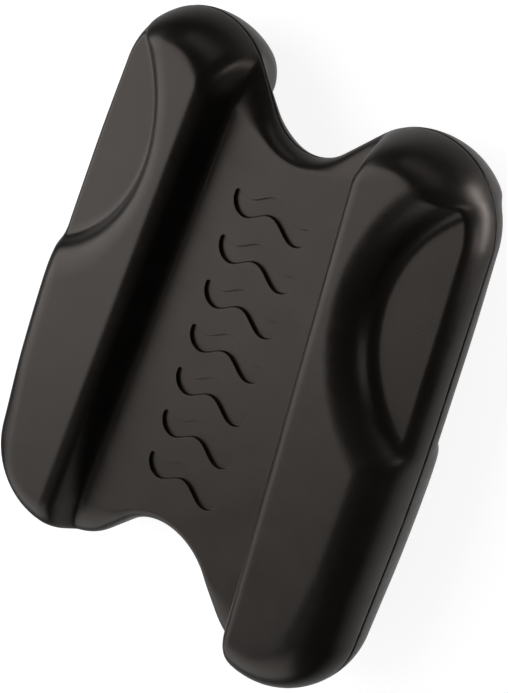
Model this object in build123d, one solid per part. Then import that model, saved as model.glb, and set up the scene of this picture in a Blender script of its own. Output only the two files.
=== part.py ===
from build123d import *
import os
from math import atan2, cos, pi, radians, sin, tan

# A pull buoy and kickboard in one, lying on its back. It is two mirrored halves of
# moulded closed-cell foam, glued together at the middle plane. Millimetres; X is
# across the board, Y along it (+Y is the end with the hand scoops), Z is up.
# The origin is on the resting surface, below the middle of the outline's box.

LENGTH = 285.0            # over the noses of the floats, along Y
WIDTH = 226.0             # over the outer sides, along X
THICKNESS = 59.0          # over both halves and the glue, along Z
GLUE_THICKNESS = 0.4
GLUE_SETBACK = 1.0        # of the glue from the outline, which leaves a groove
FLOAT_HEIGHT = (THICKNESS - GLUE_THICKNESS) / 2
WEB_HEIGHT = 9.5          # flat side of a half to the floor of its channel

# Outline in plan: rounds joined by straight lines that touch them.
TOP_NOSE_X = 65.3         # centre of a nose's round, from the plane X = 0
TOP_NOSE_RADIUS = 40.5
BOTTOM_NOSE_X = 69.8
BOTTOM_NOSE_RADIUS = 43.0
SIDE_RADIUS = 1200.0
SIDE_WIDEST_Y = -50.0
TOP_NOTCH_DEPTH = 39.2
TOP_NOTCH_RADIUS = 27.6
BOTTOM_NOTCH_DEPTH = 39.4
BOTTOM_NOTCH_RADIUS = 34.7
NOSE, HOLLOW = -1, 1      # way round that the outline turns, seen from above

EDGE_ROUND = 18.0         # outer edge of a float, where it turns down to the side
WEB_EDGE_ROUND = 5.0      # edge of the web in the two notches

# Channel between the floats: flat floor, steep wall, round crest.
CHANNEL_HALF_TOP = 34.6   # half the floor's width at the top end
CHANNEL_HALF_BOTTOM = 54.0
CHANNEL_WALL_SLOPE = 75.0
CHANNEL_CREASE_ROUND = 2.5
CHANNEL_CREST_ROUND = 7.0

# Scoop on the outer side of each float, for the hand: a round bowl whose middle lies
# past the side of the board.
SCOOP_X = 140.0           # centres of the circles that its floor and its crest follow
SCOOP_FLOOR_Y = 70.5
SCOOP_CREST_Y = 72.2
SCOOP_FLOOR_RADIUS = 71.5
SCOOP_CREST_RADIUS = 77.0
SCOOP_FLOOR = 14.0        # above the flat side of its half
SCOOP_HOLLOW_ROUND = 8.0
SCOOP_CREST_ROUND = 8.0

# Wave emblem sunk in the channel floor of each half: short ripples, one behind another.
WAVE_COUNT = 7
WAVE_PITCH = 24.0         # from one ripple to the next, along Y
WAVE_LENGTH = 30.0        # crest to crest, along X
WAVE_QUARTERS = 6         # quarters of that length in one ripple
WAVE_SWING = 3.5          # to each side of its middle line
WAVE_STROKE = 9.0         # width along Y
WAVE_CORNER_ROUND = 3.5
WAVE_DEPTH = 1.8

CLEAR = 10.0              # how far a cutter runs past what it cuts


def left_of(direction):
    return Vector(-direction.Y, direction.X)


def touching_line(first, second):
    """Ends of the straight line that leaves one round and meets the next."""
    (c1, r1, t1), (c2, r2, t2) = first, second
    between = c2 - c1
    offset = t2 * r2 - t1 * r1
    run = (between.length ** 2 - offset ** 2) ** 0.5
    angle = atan2(between.Y, between.X) - atan2(offset, run)
    side = left_of(Vector(cos(angle), sin(angle)))
    return c1 - side * (t1 * r1), c2 - side * (t2 * r2)


def notch_round(end, depth, radius):
    """Round at the bottom of a notch that is cut into the end at Y = end."""
    inward = -1 if end > 0 else 1
    return Vector(0, end + inward * (depth - radius)), radius, HOLLOW


def rounds():
    """Rounds of the whole outline, clockwise from the top notch: centre, radius, turn."""
    end = LENGTH / 2
    top_nose = Vector(TOP_NOSE_X, end - TOP_NOSE_RADIUS)
    side = Vector(WIDTH / 2 - SIDE_RADIUS, SIDE_WIDEST_Y)
    bottom_nose = Vector(BOTTOM_NOSE_X, BOTTOM_NOSE_RADIUS - end)
    right = [
        (top_nose, TOP_NOSE_RADIUS, NOSE),
        (side, SIDE_RADIUS, NOSE),
        (bottom_nose, BOTTOM_NOSE_RADIUS, NOSE),
    ]
    left = [(Vector(-c.X, c.Y), r, t) for c, r, t in reversed(right)]
    top_notch = notch_round(end, TOP_NOTCH_DEPTH, TOP_NOTCH_RADIUS)
    bottom_notch = notch_round(-end, BOTTOM_NOTCH_DEPTH, BOTTOM_NOTCH_RADIUS)
    return [top_notch, *right, bottom_notch, *left]


def outline():
    """Outline of the board at the middle plane, as a face."""
    chain = rounds()
    n = len(chain)
    lines = [touching_line(chain[i], chain[(i + 1) % n]) for i in range(n)]
    edges = []
    for i, (centre, radius, turn) in enumerate(chain):
        start, stop = lines[i - 1][1], lines[i][0]
        a0 = atan2(start.Y - centre.Y, start.X - centre.X)
        a1 = atan2(stop.Y - centre.Y, stop.X - centre.X)
        sweep = (a1 - a0) * turn % (2 * pi) * turn
        middle = a0 + sweep / 2
        halfway = centre + Vector(cos(middle), sin(middle)) * radius
        edges.append(ThreePointArc(start, halfway, stop).edge())
        edges.append(Line(stop, lines[i][1]).edge())
    return Face(Wire(edges))


def blank():
    """One half before its hollows are cut: the outline with a large round on its edge."""
    body = extrude(outline(), FLOAT_HEIGHT, dir=(0, 0, 1))
    return fillet(body.edges().group_by(Axis.Z)[-1], EDGE_ROUND)


def channel_section(y, half_floor):
    """Section of the channel's cutter, square to Y, that touches the crown of the floats."""
    slope = radians(CHANNEL_WALL_SLOPE)
    rise = FLOAT_HEIGHT + 0.3 - WEB_HEIGHT
    bend, crown = CHANNEL_CREASE_ROUND, CHANNEL_CREST_ROUND
    wall_rise = rise - (bend + crown) * (1 - cos(slope))
    sky = FLOAT_HEIGHT + CLEAR

    foot = (half_floor, WEB_HEIGHT)
    wall_low = (foot[0] + bend * sin(slope), foot[1] + bend * (1 - cos(slope)))
    wall_high = (wall_low[0] + wall_rise / tan(slope), wall_low[1] + wall_rise)
    crest = (wall_high[0] + crown * sin(slope), wall_high[1] + crown * (1 - cos(slope)))
    half = slope / 2
    bend_middle = (foot[0] + bend * sin(half), foot[1] + bend * (1 - cos(half)))
    crown_middle = (crest[0] - crown * sin(half), crest[1] - crown * (1 - cos(half)))

    def at(point, side):
        return Vector(side * point[0], y, point[1])

    edges = [Line(at(foot, -1), at(foot, 1)), Line(at((crest[0], sky), 1), at((crest[0], sky), -1))]
    for side in (1, -1):
        edges.append(ThreePointArc(at(foot, side), at(bend_middle, side), at(wall_low, side)))
        edges.append(Line(at(wall_low, side), at(wall_high, side)))
        edges.append(ThreePointArc(at(wall_high, side), at(crown_middle, side), at(crest, side)))
        edges.append(Line(at(crest, side), at((crest[0], sky), side)))
    return Wire([e.edge() for e in edges])


def channel_cutter():
    end = LENGTH / 2
    run_out = (CHANNEL_HALF_BOTTOM - CHANNEL_HALF_TOP) / LENGTH * CLEAR
    bottom = channel_section(-end - CLEAR, CHANNEL_HALF_BOTTOM + run_out)
    top = channel_section(end + CLEAR, CHANNEL_HALF_TOP - run_out)
    lofted = Solid.make_loft([bottom, top]).faces().sort_by(Axis.Z)
    flat_floor = Face(lofted[0].outer_wire())
    return Solid(Shell([flat_floor, *lofted[1:]]))


def scoop_cutter():
    """Round bowl with a flat floor and a steep wall, for the right float."""
    share = (FLOAT_HEIGHT + CLEAR - SCOOP_FLOOR) / (FLOAT_HEIGHT - SCOOP_FLOOR)
    top_y = SCOOP_FLOOR_Y + (SCOOP_CREST_Y - SCOOP_FLOOR_Y) * share
    top_radius = SCOOP_FLOOR_RADIUS + (SCOOP_CREST_RADIUS - SCOOP_FLOOR_RADIUS) * share
    low = Pos(SCOOP_X, SCOOP_FLOOR_Y, SCOOP_FLOOR) * Circle(SCOOP_FLOOR_RADIUS)
    high = Pos(SCOOP_X, top_y, FLOAT_HEIGHT + CLEAR) * Circle(top_radius)
    bowl = loft([low.face(), high.face()])
    return fillet(bowl.edges().group_by(Axis.Z)[0], SCOOP_HOLLOW_ROUND)


def ripple(y):
    """One ripple of the emblem as a face, running along X at Y = y."""
    first = -WAVE_QUARTERS // 2
    steps = range(first, first + WAVE_QUARTERS + 1)
    middle = [(k * WAVE_LENGTH / 4, y + WAVE_SWING * cos(k * pi / 2)) for k in steps]
    near = Spline([(px, py - WAVE_STROKE / 2) for px, py in middle])
    far = Spline([(px, py + WAVE_STROKE / 2) for px, py in middle])
    ends = [Line(near @ 0, far @ 0), Line(near @ 1, far @ 1)]
    face = Face(Wire([e.edge() for e in [near, far, *ends]]))
    return fillet(face.vertices(), WAVE_CORNER_ROUND)


def emblem_cutter():
    first = -(WAVE_COUNT - 1) / 2 * WAVE_PITCH
    pockets = []
    for k in range(WAVE_COUNT):
        face = Pos(0, 0, WEB_HEIGHT - WAVE_DEPTH) * ripple(first + k * WAVE_PITCH)
        pockets.append(extrude(face, WAVE_DEPTH + CLEAR, dir=(0, 0, 1)))
    return pockets


def web_edges(body):
    """Edges of the channel floor in the two notches."""
    notch_start = LENGTH / 2 - max(TOP_NOTCH_DEPTH, BOTTOM_NOTCH_DEPTH) - WEB_EDGE_ROUND
    level = body.edges().filter_by_position(Axis.Z, WEB_HEIGHT - 0.01, WEB_HEIGHT + 0.01)
    return [e for e in level if abs(e.center().Y) > notch_start]


def cut_scoop(body, bowl):
    cut = body - bowl
    rim = new_edges(body, bowl, combined=cut)
    return fillet(rim, SCOOP_CREST_ROUND)


def half():
    """The upper half, with its flat side on the plane Z = 0."""
    body = blank() - channel_cutter()
    body = fillet(web_edges(body), WEB_EDGE_ROUND)
    bowl = scoop_cutter()
    body = cut_scoop(body, bowl)
    body = cut_scoop(body, mirror(bowl, Plane.YZ))
    return body - emblem_cutter()


def glue_film():
    inner = offset(outline(), -GLUE_SETBACK)
    return extrude(inner, GLUE_THICKNESS, dir=(0, 0, 1))


def write_part():
    moulding = half()
    middle = THICKNESS / 2
    parts = {
        "front_half": Pos(0, 0, middle + GLUE_THICKNESS / 2) * moulding,
        "rear_half": Pos(0, 0, middle - GLUE_THICKNESS / 2) * mirror(moulding, Plane.XY),
        "glue_film": Pos(0, 0, middle - GLUE_THICKNESS / 2) * glue_film(),
    }
    os.makedirs("parts", exist_ok=True)
    for node, solid in parts.items():
        export_step(solid, f"parts/{node}.step")


write_part()
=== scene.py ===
import random
from math import atan2, cos, pi, radians, sin, tan

import bmesh
import bpy
import numpy as np
from mathutils import Matrix, Vector
from mathutils.geometry import delaunay_2d_cdt
from mathutils.kdtree import KDTree


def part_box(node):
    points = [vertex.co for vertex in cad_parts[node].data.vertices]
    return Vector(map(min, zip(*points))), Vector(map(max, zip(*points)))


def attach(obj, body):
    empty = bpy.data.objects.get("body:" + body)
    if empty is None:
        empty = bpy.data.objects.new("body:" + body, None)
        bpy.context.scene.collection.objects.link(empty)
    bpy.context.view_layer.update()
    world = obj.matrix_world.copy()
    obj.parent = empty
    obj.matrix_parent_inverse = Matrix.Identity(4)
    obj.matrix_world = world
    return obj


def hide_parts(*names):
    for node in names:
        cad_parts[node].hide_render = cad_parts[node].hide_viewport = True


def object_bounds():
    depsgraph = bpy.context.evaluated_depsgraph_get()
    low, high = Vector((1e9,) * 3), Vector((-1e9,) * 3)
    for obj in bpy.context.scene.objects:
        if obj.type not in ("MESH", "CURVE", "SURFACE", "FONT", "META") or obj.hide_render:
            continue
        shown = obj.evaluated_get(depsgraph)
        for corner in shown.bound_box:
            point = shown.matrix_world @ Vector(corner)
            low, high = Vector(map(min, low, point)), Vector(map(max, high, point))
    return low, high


# Looks for a foam pull buoy: two moulded foam halves with a dark glue line between them.
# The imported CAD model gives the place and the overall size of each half. The moulded
# surface is worked out here from a few dimensions, in millimetres. X is across the
# board, Y along it towards the end with the hand scoops, and Z is up.

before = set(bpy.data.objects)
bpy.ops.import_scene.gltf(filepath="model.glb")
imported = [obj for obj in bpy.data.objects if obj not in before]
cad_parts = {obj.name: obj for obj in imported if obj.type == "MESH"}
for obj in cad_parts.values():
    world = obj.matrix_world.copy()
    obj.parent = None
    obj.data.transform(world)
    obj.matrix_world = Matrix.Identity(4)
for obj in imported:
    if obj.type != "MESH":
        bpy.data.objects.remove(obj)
cad_low, cad_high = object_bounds()

MM = 0.001
SIZE = (cad_high - cad_low) / MM
LENGTH, WIDTH, THICKNESS = SIZE.y, SIZE.x, SIZE.z
MIDDLE = (cad_low.z + cad_high.z) / 2 / MM
FRONT_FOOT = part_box("front_half")[0].z / MM - MIDDLE
FLOAT_HEIGHT = THICKNESS / 2 - FRONT_FOOT
WEB_HEIGHT = 9.5

# Outline in plan, as in the CAD model: rounds joined by lines that touch them.
TOP_NOSE_X, TOP_NOSE_RADIUS = 65.3, 40.5
BOTTOM_NOSE_X, BOTTOM_NOSE_RADIUS = 69.8, 43.0
SIDE_RADIUS, SIDE_WIDEST_Y = 1200.0, -50.0
TOP_NOTCH_DEPTH, TOP_NOTCH_RADIUS = 39.2, 27.6
BOTTOM_NOTCH_DEPTH, BOTTOM_NOTCH_RADIUS = 39.4, 34.7
NOSE, HOLLOW = -1, 1

# How far inwards the rounding of the edge reaches, and how full its section is: it
# changes towards both ends of the board, and across from the floats to the web.
WEB_EDGE_REACH = 6.0
SIDE_EDGE_REACH = 18.0
TOP_EDGE_REACH = 17.0
BOTTOM_EDGE_REACH = 23.0
ENDS_BEGIN, ENDS_FULL = 55.0, 115.0      # along Y, from the middle
WEB_BEGIN, WEB_FULL = 8.0, -25.0         # across, from the foot of the channel's wall
EDGE_FULLNESS, TOP_EDGE_FULLNESS = 2.05, 1.5

# Channel between the floats.
CHANNEL_HALF_TOP, CHANNEL_HALF_BOTTOM = 34.6, 54.0
CHANNEL_WALL_SLOPE = radians(75)
CHANNEL_CREASE_ROUND = 2.5
CHANNEL_CREST_ROUND = 7.0

# Hand scoop on the outer side of each float: a round bowl, its middle past the side.
SCOOP_X, SCOOP_Y = 140.5, 70.0
SCOOP_FLOOR_RADIUS = 65.9         # where the floor begins to turn up
SCOOP_WALL_SLOPE = radians(65)
SCOOP_HOLLOW_ROUND, SCOOP_CREST_ROUND = 5.5, 15.0
SCOOP_WIDEN = 0.35                # how much wider the wall is towards the bowl's ends
SCOOP_FLOOR = 14.0
SCOOP_TILT, SCOOP_TILT_FROM = 0.03, 105.0

# Ripples sunk in the channel floor.
RIPPLE_COUNT, RIPPLE_PITCH = 7, 24.0
RIPPLE_LENGTH, RIPPLE_HALF_X = 30.0, 22.5
RIPPLE_SWING, RIPPLE_HALF_STROKE = 3.5, 4.5
RIPPLE_CORNER = 3.5
RIPPLE_DEPTH = 1.8
RIPPLE_WALL = 0.6

# Lip of a half at the seam, and the irregularity of the lip and the glue round the board,
# as waves: how many there are, and the share of each.
SEAM_ROUND = 1.1
SEAM_WAVER = 0.13
WAVER_WAVES = ((23, 0.3), (61, 0.3), (131, 0.25), (197, 0.2))

# Bead of glue in the groove: its usual size and place, and how they vary by the waves
# and by crumbs of glue.
BEAD_RADIUS, BEAD_RADIUS_WAVER, BEAD_RADIUS_CRUMBS = 0.42, 0.05, 0.35
BEAD_DEPTH, BEAD_DEPTH_WAVER, BEAD_DEPTH_CRUMBS = 0.85, 0.1, 0.25
BEAD_RISE_WAVER = 0.08
CRUMB_RARITY = 6
FRONT_SEED, REAR_SEED, CRUMB_SEED, RADIUS_SEED, DEPTH_SEED, RISE_SEED = 3, 4, 11, 5, 6, 7

# Worn stripes of the skin: middle, width and strength of each. The first is measured
# from the outline, the second from the scoop's floor and the third from the channel's.
RIM_WEAR = (0.5, 2.2, 1.0)
CREST_WEAR, CREST_WEAR_FADE = (17.0, 2.5, 0.7), 8.0
SHOULDER_WEAR = (9.0, 3.0, 0.5)

# Mesh spacing. The lines of points beside the channel's floor and the scoop's floor are
# given by their distance outside it, and the loops of a ripple by that outside its wall.
OUTLINE_STEP = 0.8
GRID_STEP, GRID_ROW = 2.2, 0.866         # the second is a share of the first
LINE_STEP = 1.4
RIPPLE_STEP, RIPPLE_TURN = 1.0, 15       # the second in degrees
LINE_ROOM, RIPPLE_ROOM, RING_ROOM = 0.8, 1.4, 0.7
SEAM_HEIGHTS = (0.0, 0.12, 0.28, 0.5, 0.78, 1.1)
BAND_ANGLES = (5, 9, 13, 18, 24, 30, 36, 42, 48, 54, 60, 66, 72, 78, 84, 90)
BAND_SHARE, BAND_EXTRA, BAND_MOST = 1.2, 1.0, 20.0
BAND_SMOOTHING = 14
BEAD_SIDES = 8
CHANNEL_LINES = (-1.6, -0.8, -0.2, 0.4, 1.0, 1.6, 2.3, 3.4, 4.6, 5.6, 6.3,
                 7.0, 7.9, 8.8, 9.8, 10.8, 11.8, 12.8, 14.0)
SCOOP_LINES = tuple(k * 1.05 - 1.0 for k in range(23))
RIPPLE_LINES = (-0.8, -0.42, -0.28, -0.16, -0.05, 0.05, 0.16, 0.28, 0.42, 0.8)
MERGE_DISTANCE = 1e-6


# ---------------------------------------------------------------- outline in plan

def vec(x, y):
    return np.array([x, y], float)


def touching_line(first, second):
    """Ends of the straight line that leaves one round and meets the next."""
    (c1, r1, t1), (c2, r2, t2) = first, second
    between = c2 - c1
    offset = t2 * r2 - t1 * r1
    run = (between @ between - offset ** 2) ** 0.5
    angle = atan2(between[1], between[0]) - atan2(offset, run)
    side = vec(-sin(angle), cos(angle))
    return c1 - side * (t1 * r1), c2 - side * (t2 * r2)


def rounds():
    """Rounds of the outline, clockwise from the top notch: centre, radius, turn."""
    end = LENGTH / 2
    right = [
        (vec(TOP_NOSE_X, end - TOP_NOSE_RADIUS), TOP_NOSE_RADIUS, NOSE),
        (vec(WIDTH / 2 - SIDE_RADIUS, SIDE_WIDEST_Y), SIDE_RADIUS, NOSE),
        (vec(BOTTOM_NOSE_X, BOTTOM_NOSE_RADIUS - end), BOTTOM_NOSE_RADIUS, NOSE),
    ]
    left = [(c * (-1, 1), r, t) for c, r, t in reversed(right)]
    top = (vec(0, end - TOP_NOTCH_DEPTH + TOP_NOTCH_RADIUS), TOP_NOTCH_RADIUS, HOLLOW)
    bottom = (vec(0, BOTTOM_NOTCH_DEPTH - end - BOTTOM_NOTCH_RADIUS), BOTTOM_NOTCH_RADIUS, HOLLOW)
    return [top, *right, bottom, *left]


ROUNDS = rounds()
LINES = [touching_line(ROUNDS[i], ROUNDS[(i + 1) % len(ROUNDS)]) for i in range(len(ROUNDS))]


def arc_span(i):
    """Start angle and signed sweep of one round of the outline."""
    centre, _, turn = ROUNDS[i]
    start, stop = LINES[i - 1][1] - centre, LINES[i][0] - centre
    a0, a1 = atan2(start[1], start[0]), atan2(stop[1], stop[0])
    return a0, (a1 - a0) * turn % (2 * pi) * turn


def outline_points():
    """Nearly evenly spaced points along the outline, and the inward direction at each."""
    points, inward = [], []
    for i, (centre, radius, turn) in enumerate(ROUNDS):
        a0, sweep = arc_span(i)
        count = max(2, round(abs(sweep) * radius / OUTLINE_STEP))
        for angle in a0 + sweep * np.arange(count) / count:
            away = vec(cos(angle), sin(angle))
            points.append(centre + away * radius)
            inward.append(away * turn)
        run = LINES[i][1] - LINES[i][0]
        count = max(1, round(np.linalg.norm(run) / OUTLINE_STEP))
        along = run / np.linalg.norm(run)
        for k in range(count):
            points.append(LINES[i][0] + run * k / count)
            inward.append(vec(along[1], -along[0]))
    return np.array(points), np.array(inward)


def edge_distance(p):
    """Distance of each point from the outline."""
    best = np.full(len(p), np.inf)
    for i, (centre, radius, turn) in enumerate(ROUNDS):
        a0, sweep = arc_span(i)
        q = p - centre
        turned = (np.arctan2(q[:, 1], q[:, 0]) - a0) * turn % (2 * pi)
        reach = np.abs(np.hypot(q[:, 0], q[:, 1]) - radius)
        best = np.where(turned <= abs(sweep), np.minimum(best, reach), best)
        start, run = LINES[i][0], LINES[i][1] - LINES[i][0]
        t = np.clip((p - start) @ run / (run @ run), 0, 1)
        q = p - start - t[:, None] * run
        best = np.minimum(best, np.hypot(q[:, 0], q[:, 1]))
    return best


def inside(p, ring):
    """True where a point is inside a closed ring of points."""
    result = np.zeros(len(p), bool)
    for a, b in zip(ring, np.roll(ring, -1, axis=0)):
        if a[1] != b[1]:
            crosses = (a[1] > p[:, 1]) != (b[1] > p[:, 1])
            at = a[0] + (p[:, 1] - a[1]) * (b[0] - a[0]) / (b[1] - a[1])
            result ^= crosses & (p[:, 0] < at)
    return result


# ---------------------------------------------------------------- moulded surface

def channel_half(y):
    """Half the width of the channel's floor at y."""
    share = (y + LENGTH / 2) / LENGTH
    return CHANNEL_HALF_BOTTOM + (CHANNEL_HALF_TOP - CHANNEL_HALF_BOTTOM) * share


def eased(value, low, high):
    """0 at low and 1 at high, with a smooth change between them."""
    t = np.clip((value - low) / (high - low), 0, 1)
    return t * t * (3 - 2 * t)


def wall_rise(e, rise, bend, crown, slope):
    """Height over a floor at a distance e past its end: hollow, straight wall, round crest."""
    bend_x, bend_z = bend * sin(slope), bend * (1 - cos(slope))
    crown_x, crown_z = crown * sin(slope), crown * (1 - cos(slope))
    wall_x = (rise - bend_z - crown_z) / tan(slope)
    crest = bend_x + wall_x + crown_x
    hollow = bend - np.sqrt(bend ** 2 - np.clip(e, 0, bend_x) ** 2)
    wall = bend_z + (e - bend_x) * tan(slope)
    over = np.clip(crest - e, 0, crown_x)
    top = rise - crown + np.sqrt(crown ** 2 - over ** 2)
    return np.where(e < bend_x, hollow, np.where(e < bend_x + wall_x, wall, top))


def scoop_widen(qx, qy):
    """How much wider the scoop's wall is in the direction from its middle to a point."""
    return 1 + SCOOP_WIDEN * qy ** 2 / (qx ** 2 + qy ** 2)


def scoop_distance(x, y):
    """Distance outside the end of the scoop's floor, evened out along its wall."""
    qx, qy = np.abs(x) - SCOOP_X, y - SCOOP_Y
    return (np.hypot(qx, qy) - SCOOP_FLOOR_RADIUS) / scoop_widen(qx, qy)


def scoop_height(x, y):
    """Height of the scoop's bowl, whose floor falls a little towards the side."""
    rise = FLOAT_HEIGHT - SCOOP_FLOOR
    wall = wall_rise(scoop_distance(x, y), rise, SCOOP_HOLLOW_ROUND, SCOOP_CREST_ROUND, SCOOP_WALL_SLOPE)
    fall = SCOOP_TILT * (np.abs(x) - SCOOP_TILT_FROM) * (1 - wall / rise)
    return SCOOP_FLOOR + wall - fall


def ripple_swing(x):
    """How far a ripple's middle line swings towards the scoop end at x."""
    return RIPPLE_SWING * np.cos(2 * pi * x / RIPPLE_LENGTH)


def ripple_distance(x, y):
    """Distance outside the nearest ripple's wall, negative inside the ripple."""
    first = -(RIPPLE_COUNT - 1) / 2 * RIPPLE_PITCH
    number = np.clip(np.round((y - first) / RIPPLE_PITCH), 0, RIPPLE_COUNT - 1)
    middle = first + number * RIPPLE_PITCH + ripple_swing(x)
    qx = np.abs(x) - (RIPPLE_HALF_X - RIPPLE_CORNER)
    qy = np.abs(y - middle) - (RIPPLE_HALF_STROKE - RIPPLE_CORNER)
    outside = np.hypot(np.maximum(qx, 0), np.maximum(qy, 0))
    return outside + np.minimum(np.maximum(qx, qy), 0) - RIPPLE_CORNER


def ripple_sink(x, y):
    """How deep the ripples are sunk at each point."""
    return RIPPLE_DEPTH * eased(ripple_distance(x, y), RIPPLE_WALL / 2, -RIPPLE_WALL / 2)


def crown_height(x, y):
    """Height of the moulding before its edge is rounded."""
    e = np.abs(x) - channel_half(y)
    rise = FLOAT_HEIGHT - WEB_HEIGHT
    channel = wall_rise(e, rise, CHANNEL_CREASE_ROUND, CHANNEL_CREST_ROUND, CHANNEL_WALL_SLOPE)
    return np.minimum(WEB_HEIGHT + channel, scoop_height(x, y))


def edge_reach(x, y):
    """How far inwards the rounding of the edge reaches: least at the web and the scoops."""
    top_end = (TOP_EDGE_REACH - SIDE_EDGE_REACH) * eased(y, ENDS_BEGIN, ENDS_FULL)
    bottom_end = (BOTTOM_EDGE_REACH - SIDE_EDGE_REACH) * eased(-y, ENDS_BEGIN, ENDS_FULL)
    e = np.abs(x) - channel_half(y)
    on_float = 1 - eased(e, WEB_BEGIN, WEB_FULL)
    up = np.clip((scoop_height(x, y) - WEB_HEIGHT) / (FLOAT_HEIGHT - WEB_HEIGHT), 0, 1)
    share = on_float * up ** 2
    return WEB_EDGE_REACH + (SIDE_EDGE_REACH + top_end + bottom_end - WEB_EDGE_REACH) * share


def edge_fullness(y):
    """Power of the rounding's section: a nearly elliptic side, a more slanting top end."""
    return EDGE_FULLNESS + (TOP_EDGE_FULLNESS - EDGE_FULLNESS) * eased(y, ENDS_BEGIN, ENDS_FULL)


def height(p, d):
    """Height of the moulded surface over its flat side, where p is d inside the outline."""
    top = crown_height(p[:, 0], p[:, 1])
    t = np.clip(d / edge_reach(p[:, 0], p[:, 1]), 0, 1)
    power = edge_fullness(p[:, 1])
    rounded = (1 - (1 - t) ** power) ** (1 / power)
    return top * rounded - ripple_sink(p[:, 0], p[:, 1])


def stripe(distance, middle, width, strength):
    """Soft stripe, strongest at the distance middle."""
    return strength * np.exp(-((distance - middle) / width) ** 2)


def wear(p, d):
    """How rubbed the skin is, from 0 to 1: at the rim, the scoops' crests and the channel's."""
    outside = scoop_distance(p[:, 0], p[:, 1])
    crest = stripe(outside, *CREST_WEAR) * np.clip(d / CREST_WEAR_FADE, 0, 1)
    e = np.abs(p[:, 0]) - channel_half(p[:, 1])
    return np.clip(stripe(d, *RIM_WEAR) + crest + stripe(e, *SHOULDER_WEAR), 0, 1)


# ---------------------------------------------------------------- meshes of the halves and the glue

def moving_average(values, reach):
    """Mean of each value of a closed ring with reach neighbours on both sides."""
    total = sum(np.roll(values, k) for k in range(-reach, reach + 1))
    return total / (2 * reach + 1)


def waver(count, seed):
    """Small smooth irregularity around the closed seam, about -1 to 1."""
    rng = random.Random(seed)
    turn = np.arange(count) / count * 2 * pi
    total = np.zeros(count)
    for waves, share in WAVER_WAVES:
        total += share * np.sin(waves * turn + rng.uniform(0, 2 * pi))
    return total


def rounding_depth(line, z):
    """How far inside the outline the edge's rounding is z high."""
    top = crown_height(line[:, 0], line[:, 1])
    power = edge_fullness(line[:, 1])
    share = 1 - (1 - (z / top) ** power) ** (1 / power)
    return share * edge_reach(line[:, 0], line[:, 1])


def seam_rings(line, inward, seed):
    """Rings of the rounded lip at the seam, from the flat side upwards."""
    rough = waver(len(line), seed)
    rings = []
    for z in SEAM_HEIGHTS:
        drop = SEAM_ROUND - z
        cut = SEAM_ROUND - (SEAM_ROUND ** 2 - drop ** 2) ** 0.5
        d = rounding_depth(line, z) + cut + SEAM_WAVER * rough * drop / SEAM_ROUND
        rings.append(np.column_stack([line + inward * d[:, None], np.full(len(line), z)]))
    return rings


def band(line, inward):
    """Rings of the moulding's rounded edge above the lip, from the outline inwards."""
    reach = edge_reach(line[:, 0], line[:, 1])
    reach = moving_average(np.minimum(BAND_SHARE * reach + BAND_EXTRA, BAND_MOST), BAND_SMOOTHING)
    lip = rounding_depth(line, SEAM_ROUND)
    rings = []
    for angle in BAND_ANGLES:
        d = lip + (reach - lip) * (1 - cos(radians(angle)))
        p = line + inward * d[:, None]
        rings.append(np.column_stack([p, height(p, d)]))
    return rings


def hex_grid():
    """Even grid of points over the whole board, every second row shifted by half a step."""
    rows = []
    for k, y in enumerate(np.arange(-LENGTH / 2, LENGTH / 2, GRID_STEP * GRID_ROW)):
        xs = np.arange(-WIDTH / 2, WIDTH / 2, GRID_STEP) + (k % 2) * GRID_STEP / 2
        rows.append(np.column_stack([xs, np.full(len(xs), y)]))
    return np.vstack(rows)


def feature_lines():
    """Points along the channel's walls and the scoops' walls, closer across than along."""
    rows = []
    ys = np.arange(-LENGTH / 2, LENGTH / 2, LINE_STEP)
    for e in CHANNEL_LINES:
        rows.append(np.column_stack([channel_half(ys) + e, ys]))
    for e in SCOOP_LINES:
        angle = np.arange(pi / 2, 3 * pi / 2, LINE_STEP / (SCOOP_FLOOR_RADIUS + e))
        radius = SCOOP_FLOOR_RADIUS + e * scoop_widen(np.cos(angle), np.sin(angle))
        rows.append(np.column_stack([SCOOP_X + radius * np.cos(angle), SCOOP_Y + radius * np.sin(angle)]))
    right = np.vstack(rows)
    return np.vstack([right, right * (-1, 1)])


def clear_of_lines(p):
    """True away from the places that have points of their own."""
    e = np.abs(p[:, 0]) - channel_half(p[:, 1])
    outside = scoop_distance(p[:, 0], p[:, 1])
    near_channel = (e > CHANNEL_LINES[0] - LINE_ROOM) & (e < CHANNEL_LINES[-1] + LINE_ROOM)
    near_scoop = (outside > SCOOP_LINES[0] - LINE_ROOM) & (outside < SCOOP_LINES[-1] + LINE_ROOM)
    near_ripple = np.abs(ripple_distance(p[:, 0], p[:, 1])) < RIPPLE_ROOM
    return ~(near_channel | near_scoop | near_ripple)


def ripple_loop(grow):
    """Closed loop of points along a ripple's wall, a distance grow outside it."""
    radius = RIPPLE_CORNER + grow
    hx, hy = RIPPLE_HALF_X - RIPPLE_CORNER, RIPPLE_HALF_STROKE - RIPPLE_CORNER
    corners = []
    for sx, sy, start in ((1, 1, 0), (-1, 1, 90), (-1, -1, 180), (1, -1, 270)):
        for angle in np.radians(start + np.arange(0, 91, RIPPLE_TURN)):
            corners.append(vec(sx * hx + radius * cos(angle), sy * hy + radius * sin(angle)))
    points = []
    for a, b in zip(corners, corners[1:] + corners[:1]):
        count = max(1, round(np.linalg.norm(b - a) / RIPPLE_STEP))
        points.extend(a + (b - a) * k / count for k in range(count))
    loop = np.array(points)
    loop[:, 1] += ripple_swing(loop[:, 0])
    return loop


def ripple_loops():
    """Loops of every ripple, from inside its wall to outside it."""
    first = -(RIPPLE_COUNT - 1) / 2 * RIPPLE_PITCH
    loops = [ripple_loop(grow) for grow in RIPPLE_LINES]
    return [loop + (0, first + k * RIPPLE_PITCH) for k in range(RIPPLE_COUNT) for loop in loops]


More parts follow.
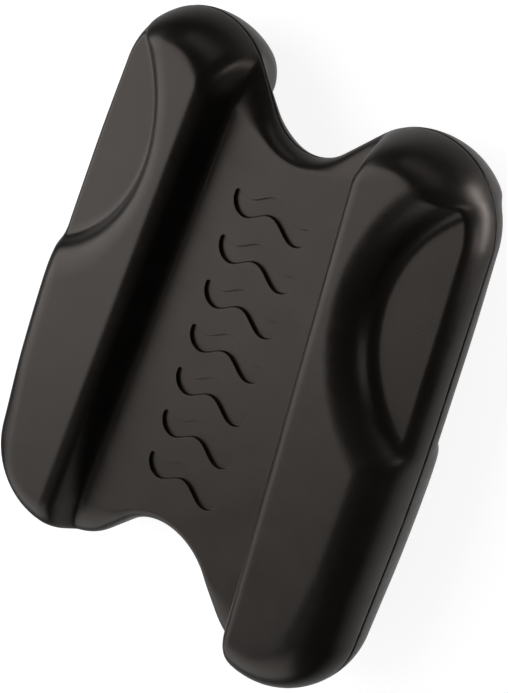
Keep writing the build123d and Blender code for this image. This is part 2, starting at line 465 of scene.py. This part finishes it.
def clear_of_ring(p, ring):
    """True where a point is clear of every point of a ring."""
    tree = KDTree(len(ring))
    for i, q in enumerate(ring):
        tree.insert((q[0], q[1], 0), i)
    tree.balance()
    return np.array([tree.find((q[0], q[1], 0))[2] > RING_ROOM for q in p])


def triangulate(points, edges, ring_size):
    """Triangles inside the first ring_size points, and where each input point went."""
    ring = list(range(ring_size))
    only_inside = 1
    return delaunay_2d_cdt([Vector(q) for q in points], edges, [ring], only_inside, MERGE_DISTANCE)


def interior(ring):
    """Points, triangles and ring correspondence of the surface inside the band."""
    n = len(ring)
    grid = hex_grid()
    grid = grid[clear_of_lines(grid)]
    lines = feature_lines()
    loose = np.vstack([grid, lines])
    loose = loose[inside(loose, ring)]
    loose = loose[clear_of_ring(loose, ring)]
    loops = ripple_loops()
    points = np.vstack([ring, loose, *loops])
    edges = []
    start = n + len(loose)
    for loop in loops:
        m = len(loop)
        edges.extend((start + i, start + (i + 1) % m) for i in range(m))
        start += m
    flat, _, faces, origins, _, _ = triangulate(points, edges, n)
    flat = np.array([tuple(v) for v in flat])
    on_ring = [next((o for o in origin if o < n), -1) for origin in origins]
    return flat, faces, on_ring


def half_mesh(line, inward, edge_band, inner, seed):
    """Vertices, faces and wear of one closed half, flat side down at z = 0."""
    rings = seam_rings(line, inward, seed) + edge_band
    n = len(line)
    faces = []
    for r in range(len(rings) - 1):
        for i in range(n):
            j = (i + 1) % n
            faces.append((r * n + i, r * n + j, (r + 1) * n + j, (r + 1) * n + i))
    flat, triangles, on_ring = inner
    verts = np.vstack([*rings, np.column_stack([flat, height(flat, edge_distance(flat))])])
    base, last_ring = len(rings) * n, (len(rings) - 1) * n
    index = [base + k if o < 0 else last_ring + o for k, o in enumerate(on_ring)]
    faces.extend(tuple(index[i] for i in f) for f in triangles)
    _, _, bottom, origins, _, _ = triangulate(rings[0][:, :2], [], n)
    faces.extend(tuple(origins[i][0] for i in f) for f in bottom)
    rubbed = wear(verts[:, :2], edge_distance(verts[:, :2]))
    return verts, faces, rubbed


def new_object(name, verts, faces, values=None):
    """Smooth closed mesh from points in millimetres, with an optional wear attribute."""
    mesh = bpy.data.meshes.new(name)
    mesh.from_pydata((verts * MM).tolist(), [], faces)
    if values is not None:
        attribute = mesh.attributes.new("wear", "FLOAT", "POINT")
        attribute.data.foreach_set("value", values.astype(np.float32))
    bm = bmesh.new()
    bm.from_mesh(mesh)
    bmesh.ops.delete(bm, geom=[v for v in bm.verts if not v.link_faces], context="VERTS")
    bmesh.ops.recalc_face_normals(bm, faces=bm.faces)
    bm.to_mesh(mesh)
    bm.free()
    mesh.shade_smooth()
    obj = bpy.data.objects.new(name, mesh)
    bpy.context.scene.collection.objects.link(obj)
    return obj


def make_halves(skin):
    """The front half, and the rear half as its mirror with a seam of its own."""
    line, inward = outline_points()
    edge_band = band(line, inward)
    inner = interior(edge_band[-1][:, :2])
    halves = (("front_foam", "front_half", 1, FRONT_SEED), ("rear_foam", "rear_half", -1, REAR_SEED))
    for name, node, side, seed in halves:
        verts, faces, rubbed = half_mesh(line, inward, edge_band, inner, seed)
        verts = verts * (1, 1, side) + (0, 0, MIDDLE + side * FRONT_FOOT)
        half = new_object(name, verts, faces, rubbed)
        half.data.materials.append(skin)
        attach(half, "root")
        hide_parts(node)


def make_glue_bead(glue):
    """Uneven bead of set glue that shows at the bottom of the seam's groove."""
    line, inward = outline_points()
    line, inward = line[::2], inward[::2]
    n = len(line)
    rng = random.Random(CRUMB_SEED)
    crumbs = moving_average(np.array([rng.random() ** CRUMB_RARITY for _ in range(n)]), 1)
    radius = BEAD_RADIUS + BEAD_RADIUS_WAVER * waver(n, RADIUS_SEED) + BEAD_RADIUS_CRUMBS * crumbs
    depth = BEAD_DEPTH + BEAD_DEPTH_WAVER * waver(n, DEPTH_SEED) - BEAD_DEPTH_CRUMBS * crumbs
    rise = BEAD_RISE_WAVER * waver(n, RISE_SEED)
    rings = []
    for angle in np.arange(BEAD_SIDES) / BEAD_SIDES * 2 * pi:
        p = line + inward * (depth + radius * cos(angle))[:, None]
        rings.append(np.column_stack([p, MIDDLE + rise + radius * sin(angle)]))
    faces = []
    for s in range(BEAD_SIDES):
        t = (s + 1) % BEAD_SIDES
        for i in range(n):
            j = (i + 1) % n
            faces.append((s * n + i, s * n + j, t * n + j, t * n + i))
    bead = new_object("glue_bead", np.vstack(rings), faces)
    bead.data.materials.append(glue)
    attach(bead, "root")


# ---------------------------------------------------------------- materials

SKIN_DARK, SKIN_LIGHT = (0.0090, 0.0082, 0.0076, 1), (0.0130, 0.0119, 0.0110, 1)
SKIN_RUBBED, SKIN_SCRATCHED = (0.022, 0.020, 0.018, 1), (0.026, 0.024, 0.022, 1)
SKIN_SHEEN = (1.0, 0.87, 0.79, 1)
GLUE_DARK, GLUE_LIGHT = (0.004, 0.0036, 0.0033, 1), (0.03, 0.026, 0.022, 1)
SWELL_DEPTH, GRAIN_DEPTH, SCRATCH_DEPTH, LUMP_DEPTH = 0.00022, 0.000024, 0.00001, 0.0004


def add(tree, kind, inputs=None, **settings):
    """New node, with its settings and its inputs' values or links."""
    node = tree.nodes.new(kind)
    for key, value in settings.items():
        setattr(node, key, value)
    for key, value in (inputs or {}).items():
        if isinstance(value, bpy.types.NodeSocket):
            tree.links.new(value, node.inputs[key])
        else:
            node.inputs[key].default_value = value
    return node


def noise(tree, place, scale, detail, roughness=0.5):
    inputs = {"Vector": place, "Scale": scale, "Detail": detail, "Roughness": roughness}
    return add(tree, "ShaderNodeTexNoise", inputs).outputs["Fac"]


def ramp(tree, value, low, high, to_low=0.0, to_high=1.0):
    """Value moved in a straight line from the range low to high into another range."""
    inputs = {"Value": value, "From Min": low, "From Max": high, "To Min": to_low, "To Max": to_high}
    return add(tree, "ShaderNodeMapRange", inputs).outputs["Result"]


def combine(tree, operation, a, b):
    return add(tree, "ShaderNodeMath", {0: a, 1: b}, operation=operation).outputs[0]


def mix(tree, factor, a, b):
    node = add(tree, "ShaderNodeMix", {"Factor": factor}, data_type="RGBA")
    for socket, value in ((node.inputs[6], a), (node.inputs[7], b)):
        if isinstance(value, bpy.types.NodeSocket):
            tree.links.new(value, socket)
        else:
            socket.default_value = value
    return node.outputs[2]


def relief(tree, pattern, depth, normal=None, invert=False):
    """Normal of a surface with a relief, on top of another normal if there is one."""
    inputs = {"Strength": 1.0, "Distance": depth, "Height": pattern}
    if normal is not None:
        inputs["Normal"] = normal
    return add(tree, "ShaderNodeBump", inputs, invert=invert).outputs["Normal"]


def new_material(name):
    material = bpy.data.materials.new(name)
    material.use_nodes = True
    tree = material.node_tree
    return material, tree, tree.nodes["Principled BSDF"]


def foam_material():
    """Satin moulded skin of black foam: fine grain, faint waves, rubbed rims, hairlines."""
    material, tree, shader = new_material("foam_skin")
    place = add(tree, "ShaderNodeTexCoord").outputs["Object"]

    fine = noise(tree, place, scale=1500.0, detail=1.0)
    cells = add(tree, "ShaderNodeTexVoronoi", {"Vector": place, "Scale": 900.0}).outputs["Distance"]
    grain = combine(tree, "ADD", fine, combine(tree, "MULTIPLY", cells, 0.5))
    patches = noise(tree, place, scale=42.0, detail=5.0, roughness=0.6)
    swell = noise(tree, place, scale=38.0, detail=1.0)

    along = {"Vector": place, "Scale": (900.0, 22.0, 22.0), "Rotation": (0.0, 0.0, 0.35)}
    stretched = add(tree, "ShaderNodeMapping", along).outputs["Vector"]
    hairs = ramp(tree, noise(tree, stretched, scale=1.0, detail=2.0), 0.70, 0.76)
    sparse = ramp(tree, noise(tree, place, scale=16.0, detail=1.0), 0.52, 0.66)
    scratches = combine(tree, "MULTIPLY", hairs, sparse)

    worn = add(tree, "ShaderNodeAttribute", attribute_name="wear").outputs["Fac"]
    broken = ramp(tree, noise(tree, place, scale=260.0, detail=4.0, roughness=0.7), 0.42, 0.66)
    rubbed = combine(tree, "MULTIPLY", worn, broken)

    base = mix(tree, ramp(tree, patches, 0.35, 0.7), SKIN_DARK, SKIN_LIGHT)
    base = mix(tree, combine(tree, "MULTIPLY", rubbed, 0.5), base, SKIN_RUBBED)
    base = mix(tree, combine(tree, "MULTIPLY", scratches, 0.5), base, SKIN_SCRATCHED)
    tree.links.new(base, shader.inputs["Base Color"])

    rough = ramp(tree, patches, 0.3, 0.7, to_low=0.29, to_high=0.36)
    rough = combine(tree, "ADD", rough, combine(tree, "MULTIPLY", rubbed, 0.08))
    rough = combine(tree, "ADD", rough, combine(tree, "MULTIPLY", scratches, 0.12))
    tree.links.new(rough, shader.inputs["Roughness"])
    shader.inputs["Specular Tint"].default_value = SKIN_SHEEN

    normal = relief(tree, swell, SWELL_DEPTH)
    normal = relief(tree, grain, GRAIN_DEPTH, normal)
    normal = relief(tree, scratches, SCRATCH_DEPTH, normal, invert=True)
    tree.links.new(normal, shader.inputs["Normal"])
    return material


def glue_material():
    """Dull, lumpy set glue."""
    material, tree, shader = new_material("set_glue")
    place = add(tree, "ShaderNodeTexCoord").outputs["Object"]
    lumps = noise(tree, place, scale=700.0, detail=4.0, roughness=0.65)
    base = mix(tree, ramp(tree, lumps, 0.45, 0.75), GLUE_DARK, GLUE_LIGHT)
    tree.links.new(base, shader.inputs["Base Color"])
    tree.links.new(ramp(tree, lumps, 0.3, 0.7, to_low=0.42, to_high=0.7), shader.inputs["Roughness"])
    tree.links.new(relief(tree, lumps, LUMP_DEPTH), shader.inputs["Normal"])
    return material


# ---------------------------------------------------------------- studio

# Metres. The floor is a little below the object, so that no flat crown lies in its plane.
FLOOR_SIZE, CARD_SIZE, DOME_RADIUS = 12.0, 1.2, 9.0
FLOOR_GAP = 0.0003

# Strengths of the glowing surfaces and of the dark room. The card fades from full to none
# between two distances from its middle, given in half sizes of the object.
PALE_GLOW, FLOOR_SHADE = 0.9, 0.35
CARD_GLOW, CARD_FULL, CARD_NONE = 0.55, 1.3, 2.3
STUDIO_DARK = 0.055

# Lamps: direction from the object's middle, direction of the long side, degrees covered
# along and across it, radiance, and distance in metres.
LAMPS = {
    "key": ((-0.78, -0.03, 0.62), (0.62, 0, 0.78), (66, 58), 1.72, 1.8),
    "low_fill": ((-0.25, -0.92, 0.36), (1, 0, 0), (70, 44), 0.9, 1.8),
    "back_fill": ((-0.1, 0.96, 0.2), (1, 0, 0), (50, 16), 0.6, 1.8),
    "strip": ((0.76, 0.643, -0.1), (-0.1, 1, 0), (34, 2.2), 17, 0.222),
    "low_strip": ((0.35, 0.12, 0.0045), (-0.1, 1, 0), (18, 3), 6, 0.37),
}

# Camera: millimetres, degrees, and metres for its aim and its distance from there.
CAMERA_LENS, CAMERA_SENSOR = 105.77, 36
CAMERA_AZIMUTH, CAMERA_ELEVATION, CAMERA_ROLL = 131.98, 50.734, 106.045
CAMERA_AIM, CAMERA_DISTANCE = (0.00794, 0.00518, 0.02983), 0.95626


def glowing(name, strength, shade=0.0):
    """Material that glows evenly, over a grey that takes light and shadow."""
    material, tree, shader = new_material(name)
    shader.inputs["Base Color"].default_value = (shade, shade, shade, 1)
    shader.inputs["Roughness"].default_value = 0.9
    shader.inputs["Specular IOR Level"].default_value = 0.0
    shader.inputs["Emission Color"].default_value = (1, 1, 1, 1)
    shader.inputs["Emission Strength"].default_value = strength
    return material, tree, shader


def make_floor():
    """Pale floor for the camera, and a white card in its place that the object mirrors."""
    bpy.ops.mesh.primitive_plane_add(size=FLOOR_SIZE, location=(0, 0, -FLOOR_GAP))
    floor = bpy.context.object
    floor.name = "floor"
    floor.data.materials.append(glowing("pale_floor", PALE_GLOW, FLOOR_SHADE)[0])
    floor.visible_glossy = False
    floor.visible_diffuse = False

    bpy.ops.mesh.primitive_plane_add(size=CARD_SIZE, location=(0, 0, -2 * FLOOR_GAP))
    card = bpy.context.object
    card.name = "card"
    material, tree, shader = glowing("white_card", CARD_GLOW)
    place = add(tree, "ShaderNodeTexCoord").outputs["Object"]
    half = (SIZE * MM / 2).to_tuple()
    scaled = add(tree, "ShaderNodeVectorMath", {0: place, 1: half}, operation="DIVIDE").outputs["Vector"]
    away = add(tree, "ShaderNodeVectorMath", {0: scaled}, operation="LENGTH").outputs["Value"]
    glow = ramp(tree, away, CARD_FULL, CARD_NONE, to_low=CARD_GLOW, to_high=0.0)
    tree.links.new(glow, shader.inputs["Emission Strength"])
    card.data.materials.append(material)
    card.visible_camera = False


def make_backdrop():
    """Pale surround that only the camera sees, in a dark room."""
    bpy.ops.mesh.primitive_uv_sphere_add(segments=48, ring_count=24, radius=DOME_RADIUS)
    dome = bpy.context.object
    dome.name = "backdrop"
    dome.data.materials.append(glowing("pale_backdrop", PALE_GLOW)[0])
    dome.visible_glossy = False
    dome.visible_diffuse = False
    dome.visible_shadow = False
    world = bpy.data.worlds.new("world")
    bpy.context.scene.world = world
    world.use_nodes = True
    background = world.node_tree.nodes["Background"]
    background.inputs["Color"].default_value = (STUDIO_DARK, STUDIO_DARK, STUDIO_DARK, 1)
    bpy.context.scene.view_settings.view_transform = "Standard"


def softbox(name, direction, side, degrees, radiance, distance):
    """Rectangular light of a given brightness, sized by the angles that it covers."""
    away = Vector(direction).normalized()
    side = Vector(side)
    across = (side - away * side.dot(away)).normalized()
    light = bpy.data.lights.new(name, "AREA")
    light.shape = "RECTANGLE"
    light.size = 2 * distance * tan(radians(degrees[0] / 2))
    light.size_y = 2 * distance * tan(radians(degrees[1] / 2))
    light.energy = radiance * pi * light.size * light.size_y
    lamp = bpy.data.objects.new(name, light)
    axes = Matrix((across, away.cross(across), away)).transposed()
    place = away * distance + Vector((0, 0, MIDDLE * MM))
    lamp.matrix_world = Matrix.Translation(place) @ axes.to_4x4()
    lamp.visible_camera = False
    bpy.context.scene.collection.objects.link(lamp)


def make_camera():
    """Camera that looks down at the front from the scoop end's right, turned on its side."""
    camera = bpy.data.cameras.new("camera")
    camera.lens = CAMERA_LENS
    camera.sensor_width = CAMERA_SENSOR
    azimuth, elevation, roll = radians(CAMERA_AZIMUTH), radians(CAMERA_ELEVATION), radians(CAMERA_ROLL)
    back = Vector((sin(azimuth) * cos(elevation), -cos(azimuth) * cos(elevation), sin(elevation)))
    level_up = (Vector((0, 0, 1)) - back * back.z).normalized()
    level_right = level_up.cross(back)
    up = level_up * cos(roll) + level_right * sin(roll)
    right = up.cross(back)
    holder = bpy.data.objects.new("camera", camera)
    holder.matrix_world = Matrix((right, up, back)).transposed().to_4x4()
    holder.location = Vector(CAMERA_AIM) + back * CAMERA_DISTANCE
    bpy.context.scene.collection.objects.link(holder)
    bpy.context.scene.camera = holder


def main():
    make_camera()
    glue = glue_material()
    make_halves(foam_material())
    make_glue_bead(glue)
    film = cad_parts["glue_film"]
    film.data.materials.clear()
    film.data.materials.append(glue)
    make_floor()
    make_backdrop()
    for name, lamp in LAMPS.items():
        softbox(name, *lamp)


main()
